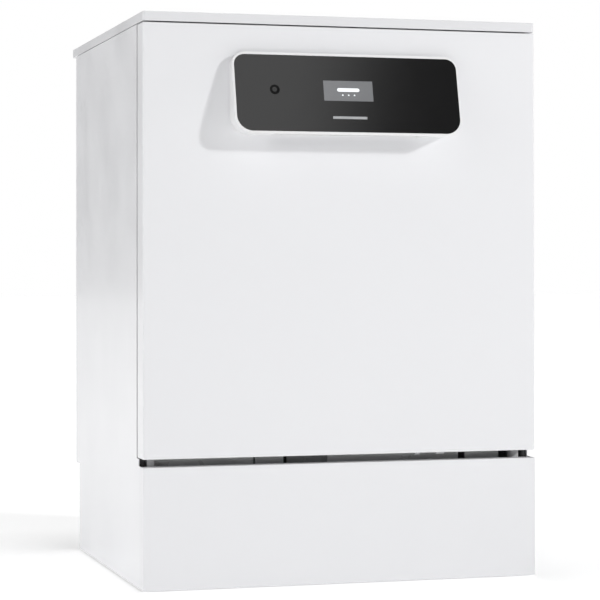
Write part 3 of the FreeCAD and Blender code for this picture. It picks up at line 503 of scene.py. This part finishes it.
def piece(name, work, body, slot, look=None, replaced=()):
    """Turns a mesh in the making into a finished piece that rides on a body."""
    bmesh.ops.remove_doubles(work, verts=work.verts, dist=1e-7)
    bmesh.ops.recalc_face_normals(work, faces=work.faces)
    data = bpy.data.meshes.new(name)
    work.to_mesh(data)
    work.free()
    made = bpy.data.objects.new(name, data)
    bpy.context.scene.collection.objects.link(made)
    data.materials.append(look or SLOT_LOOKS[slot])
    data.set_sharp_from_angle(angle=math.radians(38))
    for face in data.polygons:
        face.use_smooth = True
    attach(made, body)
    if replaced:
        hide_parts(*replaced)
    return made


# ---------------------------------------------------------------- baskets

RIM_R = 2.4 * MM
WIRE_R = 1.7 * MM
PEG_R = 1.5 * MM
AXLE_REACH = 16.5 * MM          # axle pin beyond the lower basket's side
HANGER_DROP = 28 * MM           # axle hanger below the lower basket's floor
HANDLE_HALF = 70 * MM           # half the length of a basket handle's top
HANDLE_RISE = 16 * MM


def basket_wires(work, low, high, rows, columns):
    """Rims, and U-shaped wires both ways across the floor and up the walls."""
    inset = Vector((RIM_R, RIM_R, RIM_R))
    a, b = low + inset, high - inset
    corner_bend = 22 * MM
    for z in (b.z, a.z + (b.z - a.z) * 0.52, a.z + 3 * MM):
        loop = [Vector((a.x, a.y, z)), Vector((b.x, a.y, z)), Vector((b.x, b.y, z)), Vector((a.x, b.y, z))]
        wire(work, rounded(loop, corner_bend, True, 8), RIM_R if z == b.z else WIRE_R, True)
    inner = (RIM_R + WIRE_R) * 0.8
    for i in range(rows):
        y = a.y + corner_bend + (b.y - a.y - 2 * corner_bend) * i / (rows - 1)
        bend = [Vector((a.x + inner, y, b.z)), Vector((a.x + inner, y, a.z)),
                Vector((b.x - inner, y, a.z)), Vector((b.x - inner, y, b.z))]
        wire(work, rounded(bend, 9 * MM), WIRE_R)
    lift = 1.8 * WIRE_R
    for i in range(columns):
        x = a.x + corner_bend + (b.x - a.x - 2 * corner_bend) * i / (columns - 1)
        bend = [Vector((x, a.y + inner, b.z)), Vector((x, a.y + inner, a.z + lift)),
                Vector((x, b.y - inner, a.z + lift)), Vector((x, b.y - inner, b.z))]
        wire(work, rounded(bend, 9 * MM), WIRE_R)


def peg_rows(work, low, high, rows, loops, tall):
    """Rows of hoops that glasses stand over, leaning back a little."""
    floor = low.z + 2 * RIM_R
    margin = 30 * MM
    step_x = (high.x - low.x - 2 * margin) / (rows - 1)
    step_y = (high.y - low.y - 2 * margin) / loops
    lean = 8 * MM
    for i in range(rows):
        x = low.x + margin + i * step_x
        for j in range(loops):
            y = low.y + margin + (j + 0.22) * step_y
            end = y + step_y * 0.56
            hoop = [Vector((x, y, floor)), Vector((x, y + lean, floor + tall)),
                    Vector((x, end + lean, floor + tall)), Vector((x, end, floor))]
            wire(work, rounded(hoop, 8 * MM), PEG_R)


def basket_handle(work, low, high):
    """Hoop that stands up from the middle of the front rim."""
    y, z = low.y + RIM_R, high.z - RIM_R
    foot = HANDLE_HALF + HANDLE_RISE
    hoop = [Vector((-foot, y, z)), Vector((-HANDLE_HALF, y, z + HANDLE_RISE)),
            Vector((HANDLE_HALF, y, z + HANDLE_RISE)), Vector((foot, y, z))]
    wire(work, rounded(hoop, 9 * MM), RIM_R)


def handle_grip(name, body, low, high):
    """Moulded sleeve on the hoop, with shallow finger waves."""
    work = bmesh.new()
    y, z = low.y + RIM_R, high.z - RIM_R + HANDLE_RISE
    steps = 60
    sides = 20
    rings = []
    for i in range(steps + 1):
        t = i / steps
        swell = 6.2 * MM + 0.7 * MM * math.cos(t * math.tau * 4)
        radius = swell * min(1.0, (min(t, 1 - t) * 14 + 0.25) ** 0.5)
        x = (t * 2 - 1) * (HANDLE_HALF - 9 * MM)
        rings.append([work.verts.new((x, y + math.cos(math.tau * k / sides) * radius,
                                      z + math.sin(math.tau * k / sides) * radius)) for k in range(sides)])
    for first, second in zip(rings, rings[1:]):
        for k in range(sides):
            j = (k + 1) % sides
            work.faces.new((first[k], first[j], second[j], second[k]))
    work.faces.new(rings[0][::-1])
    work.faces.new(rings[-1])
    piece(name, work, body, "grey_plastic")


def upper_basket():
    low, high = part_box("upper_basket")
    work = bmesh.new()
    basket_wires(work, low, high, 13, 15)
    peg_rows(work, low, high, 6, 9, 58 * MM)
    basket_handle(work, low, high)
    piece("upper_basket_wires", work, "upper_basket", "stainless_wire", replaced=["upper_basket"])
    handle_grip("upper_basket_grip", "upper_basket", low, high)


def lower_basket():
    low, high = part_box("lower_basket")
    low = Vector((low.x + AXLE_REACH, low.y, low.z + HANGER_DROP))
    high = Vector((high.x - AXLE_REACH, high.y, high.z))
    work = bmesh.new()
    basket_wires(work, low, high, 12, 14)
    peg_rows(work, low, high, 6, 8, 42 * MM)
    basket_handle(work, low, high)
    piece("lower_basket_wires", work, "lower_basket", "stainless_wire", replaced=["lower_basket"])
    handle_grip("lower_basket_grip", "lower_basket", low, high)
    work = bmesh.new()
    for end in ("front", "rear"):
        wheel_low, wheel_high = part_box("wheels_" + end)
        axle = (wheel_low + wheel_high) / 2
        for side in (-1, 1):
            inner, outer = side * (high.x - 4 * MM), side * high.x
            soft_block(work, (min(inner, outer), axle.y - 10 * MM, axle.z - 8 * MM),
                       (max(inner, outer), axle.y + 10 * MM, low.z + 5 * MM), 1.2 * MM)
            profile = [(0.2 * MM, -0.5 * MM), (6 * MM, -0.5 * MM), (6 * MM, 2.5 * MM), (3 * MM, 2.5 * MM),
                       (3 * MM, 15.5 * MM), (2.2 * MM, 16.4 * MM), (0.2 * MM, 16.4 * MM)]
            lathe(work, profile, Vector((outer, axle.y, axle.z)), (side, 0, 0), 32)
    piece("basket_axles", work, "lower_basket", "stainless_wire")


def wheel_hubcaps():
    """Domed caps in the middle of the basket wheels' outer faces."""
    for end in ("front", "rear"):
        low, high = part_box("wheels_" + end)
        axle = (low + high) / 2
        work = bmesh.new()
        for side, face in ((-1, low.x), (1, high.x)):
            profile = [(3.4 * MM, -1.2 * MM), (9 * MM, -1.2 * MM), (9 * MM, 0.2 * MM), (8 * MM, 0.9 * MM),
                       (5 * MM, 1.3 * MM), (3.4 * MM, 1.3 * MM)]
            lathe(work, profile, Vector((face, axle.y, axle.z)), (side, 0, 0))
        piece("wheel_caps_" + end, work, "wheels_" + end, "light_plastic")


# ---------------------------------------------------------------- control panel

ICON_PROUD = 1.85 * MM          # icons' backs in front of the middle of the display
ICON_THICK = 0.12 * MM


def bar_on_glass(work, centre, across, tall):
    """Flat lozenge with round ends lying on the panel."""
    ends = 12
    radius = tall / 2
    outline = []
    for side, start in ((1, -math.pi / 2), (-1, math.pi / 2)):
        for k in range(ends + 1):
            turn = start + math.pi * k / ends
            outline.append((side * (across / 2 - radius) + radius * math.cos(turn), radius * math.sin(turn)))
    back = [work.verts.new(centre + Vector((u, 0, 0)) + UP * v) for u, v in outline]
    front = [work.verts.new(vert.co + OUT * ICON_THICK) for vert in back]
    work.faces.new(back)
    work.faces.new(front[::-1])
    for k in range(len(back)):
        j = (k + 1) % len(back)
        work.faces.new((back[k], back[j], front[j], front[k]))


def display_icons():
    """Plain progress bar with three dots on the display."""
    low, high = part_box("display_screen")
    middle = (low + high) / 2 + OUT * ICON_PROUD
    work = bmesh.new()
    bar_on_glass(work, middle + UP * 1.5 * MM, 34 * MM, 5.5 * MM)
    for k in (-1, 0, 1):
        bar_on_glass(work, middle + Vector((k * 9 * MM, 0, 0)) - UP * 6.5 * MM, 2.6 * MM, 2.4 * MM)
    piece("display_icons", work, "door", "light_lens", look=icon_white())


def icon_white():
    look = finish_look("icon_white", (0.86, 0.87, 0.88), 0.5, grain=900.0, patch=60.0, patch_tint=0.95)
    shader = next(node for node in look.node_tree.nodes if node.type == "BSDF_PRINCIPLED")
    shader.inputs["Emission Color"].default_value = (0.9, 0.95, 1.0, 1)
    shader.inputs["Emission Strength"].default_value = 0.25
    return look


# ---------------------------------------------------------------- slot over the kick panel

CLIPS = ((113, 120.5, 3.6), (147, 158.5, 3.2), (175, 196, 1.2))   # X span and drop of each, mm


def slot_clips():
    """Pale moulded tabs that stand down under the door's lower edge."""
    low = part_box("door_outer_panel")[0]
    work = bmesh.new()
    for x0, x1, drop in CLIPS:
        soft_block(work, (x0 * MM, low.y + 11 * MM, low.z - drop * MM),
                   (x1 * MM, low.y + 20 * MM, low.z + 0.3 * MM), 0.5 * MM)
    piece("slot_clips", work, "door", "light_plastic")


def corner_brackets():
    """Small folded brackets beside the corner blocks: a front leaf and a leaf going back."""
    work = bmesh.new()
    block_low, block_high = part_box("corner_blocks")
    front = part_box("door_outer_panel")[0].y + 37 * MM
    for side in (-1, 1):
        for reach, deep in ((287, 1.5), (276.5, 16)):
            ends = sorted((side * 275 * MM, side * reach * MM))
            soft_block(work, (ends[0], front, block_low.z + 10 * MM),
                       (ends[1], front + deep * MM, block_high.z), 0.5 * MM)
    # the zinc steel brackets take the white moulding's look, paler than their steel: painted light inside the slot
    piece("corner_brackets", work, "root", "zinc_steel", look=SLOT_LOOKS["white_plastic"])


def window_backing():
    """Ribbed grey plate behind the crossmember's wide window."""
    strip_low, strip_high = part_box("front_crossmember")
    back = strip_low.y + 4 * MM
    low_z, high_z = strip_high.z - 36 * MM, strip_high.z - 6 * MM
    work = bmesh.new()
    soft_block(work, (-72 * MM, back, low_z), (-6 * MM, back + 1.5 * MM, high_z), 0.4 * MM)
    for x in (-70, -44, -18):
        soft_block(work, (x * MM, back - 1.2 * MM, low_z), ((x + 2) * MM, back + 0.4 * MM, high_z), 0.4 * MM)
    piece("window_backing", work, "root", "light_plastic")


# ---------------------------------------------------------------- tub, seal and back

BEAD_R = 3.4 * MM
BEAD_SUNK = 1.2 * MM            # axis of a bead behind the sheet's face
TUB_SHEET = 1.5 * MM
LIP_R = 2.3 * MM
LIP_INSET = 5 * MM              # axis of the seal's lip inside the seal's outline


def tub_beads():
    """Stiffening beads pressed into the tub's sides and back."""
    low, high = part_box("tub_wrapper")
    work = bmesh.new()
    wall = high.x - TUB_SHEET
    for up in (128, 228, 323, 428, 478):
        z = low.z + up * MM
        for side in (-1, 1):
            x = side * (wall + BEAD_SUNK)
            wire(work, [Vector((x, low.y + 60 * MM, z)), Vector((x, high.y - 60 * MM, z))], BEAD_R, sides=16)
    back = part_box("tub_back")[0].y + BEAD_SUNK
    for across in (-170, -85, 85, 170):
        x = across * MM
        wire(work, [Vector((x, back, low.z + 70 * MM)), Vector((x, back, high.z - 70 * MM))], BEAD_R, sides=16)
    piece("tub_beads", work, "root", "stainless")


def gasket_lip():
    """Hollow lip of the door seal that the inner door presses on."""
    low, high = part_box("tub_gasket")
    left, right = low.x + LIP_INSET, high.x - LIP_INSET
    bottom, top = low.z + LIP_INSET, high.z - LIP_INSET
    y = low.y + 2.4 * MM
    loop = [Vector((left, y, bottom)), Vector((right, y, bottom)), Vector((right, y, top)),
            Vector((left, y, top))]
    work = bmesh.new()
    wire(work, rounded(loop, 24 * MM, True, 10), LIP_R, True, 12)
    piece("seal_lip", work, "root", "rubber_seal")


HUB_PROUD = 2 * MM              # hub above a spray arm's flat top


def jet_rims():
    """Raised rims round the jets of each spray arm."""
    for arm in ("lower_spray_arm", "upper_spray_arm", "top_spray_arm"):
        low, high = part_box(arm)
        middle = (low + high) / 2
        half = high.x
        top = high.z - HUB_PROUD
        work = bmesh.new()
        for i in range(1, 7):
            for way in (-1, 1):
                reach = way * (half - 12 * MM) * i / 6.5
                place = Vector((reach + 6 * MM * way, middle.y + ((i % 2) * 8 - 4) * MM, top))
                profile = [(2.0 * MM, -0.6 * MM), (3.6 * MM, -0.6 * MM), (3.2 * MM, 0.5 * MM),
                           (2.6 * MM, 0.8 * MM), (2.0 * MM, 0.5 * MM)]
                lathe(work, profile, place, (0, 0, 1), 24)
        piece(arm + "_jets", work, arm, "grey_plastic")


LOUVRE_PITCH = 16 * MM
LOUVRE_HALF = 45 * MM
LOUVRE_SWELL = 4.2 * MM         # how far a louvre stands out
EMBOSS_R = 3.2 * MM


def louvres():
    """Rows of pressed louvres low on the back panel."""
    low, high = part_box("rear_panel")
    work = bmesh.new()
    face = high.y
    steps = 16
    for row in range(7):
        z = low.z + 180 * MM + row * LOUVRE_PITCH
        for x in (-130 * MM, 130 * MM):
            rings = []
            for k in range(steps + 1):
                t = k / steps
                swell = LOUVRE_SWELL * max(0.0, math.sin(math.pi * t)) ** 0.35
                place = x - LOUVRE_HALF + 2 * LOUVRE_HALF * t
                rings.append([work.verts.new((place, face - 0.3 * MM, z + 4.5 * MM)),
                              work.verts.new((place, face + swell * 0.55, z + 3.0 * MM)),
                              work.verts.new((place, face + swell, z - 1.5 * MM)),
                              work.verts.new((place, face + swell - 0.7 * MM * (swell > 0), z - 2.2 * MM)),
                              work.verts.new((place, face - 0.3 * MM, z + 2.0 * MM))])
            for first, second in zip(rings, rings[1:]):
                for i in range(5):
                    j = (i + 1) % 5
                    work.faces.new((first[i], first[j], second[j], second[i]))
            work.faces.new(rings[0][::-1])
            work.faces.new(rings[-1])
    piece("rear_louvres", work, "root", "zinc_steel")


def rear_emboss():
    """Raised cross-shaped stiffening field pressed into the back panel."""
    low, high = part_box("rear_panel")
    work = bmesh.new()
    y = high.y - 1.4 * MM
    bottom, top = low.z + 345 * MM, high.z - 60 * MM
    half, reach = 220 * MM, 150 * MM
    loop = [Vector((-half, y, bottom)), Vector((half, y, bottom)), Vector((half, y, top)),
            Vector((-half, y, top))]
    wire(work, rounded(loop, 40 * MM, True, 10), EMBOSS_R, True, 12)
    for side in (-1, 1):
        wire(work, [Vector((side * reach, y, bottom + 60 * MM)), Vector((-side * reach, y, top - 60 * MM))],
             EMBOSS_R, sides=12)
    piece("rear_embossing", work, "root", "zinc_steel")


# ---------------------------------------------------------------- build

camera()
studio()
dress_cad_nodes()
upper_basket()
lower_basket()
wheel_hubcaps()
display_icons()
slot_clips()
corner_brackets()
window_backing()
tub_beads()
gasket_lip()
jet_rims()
louvres()
rear_emboss()
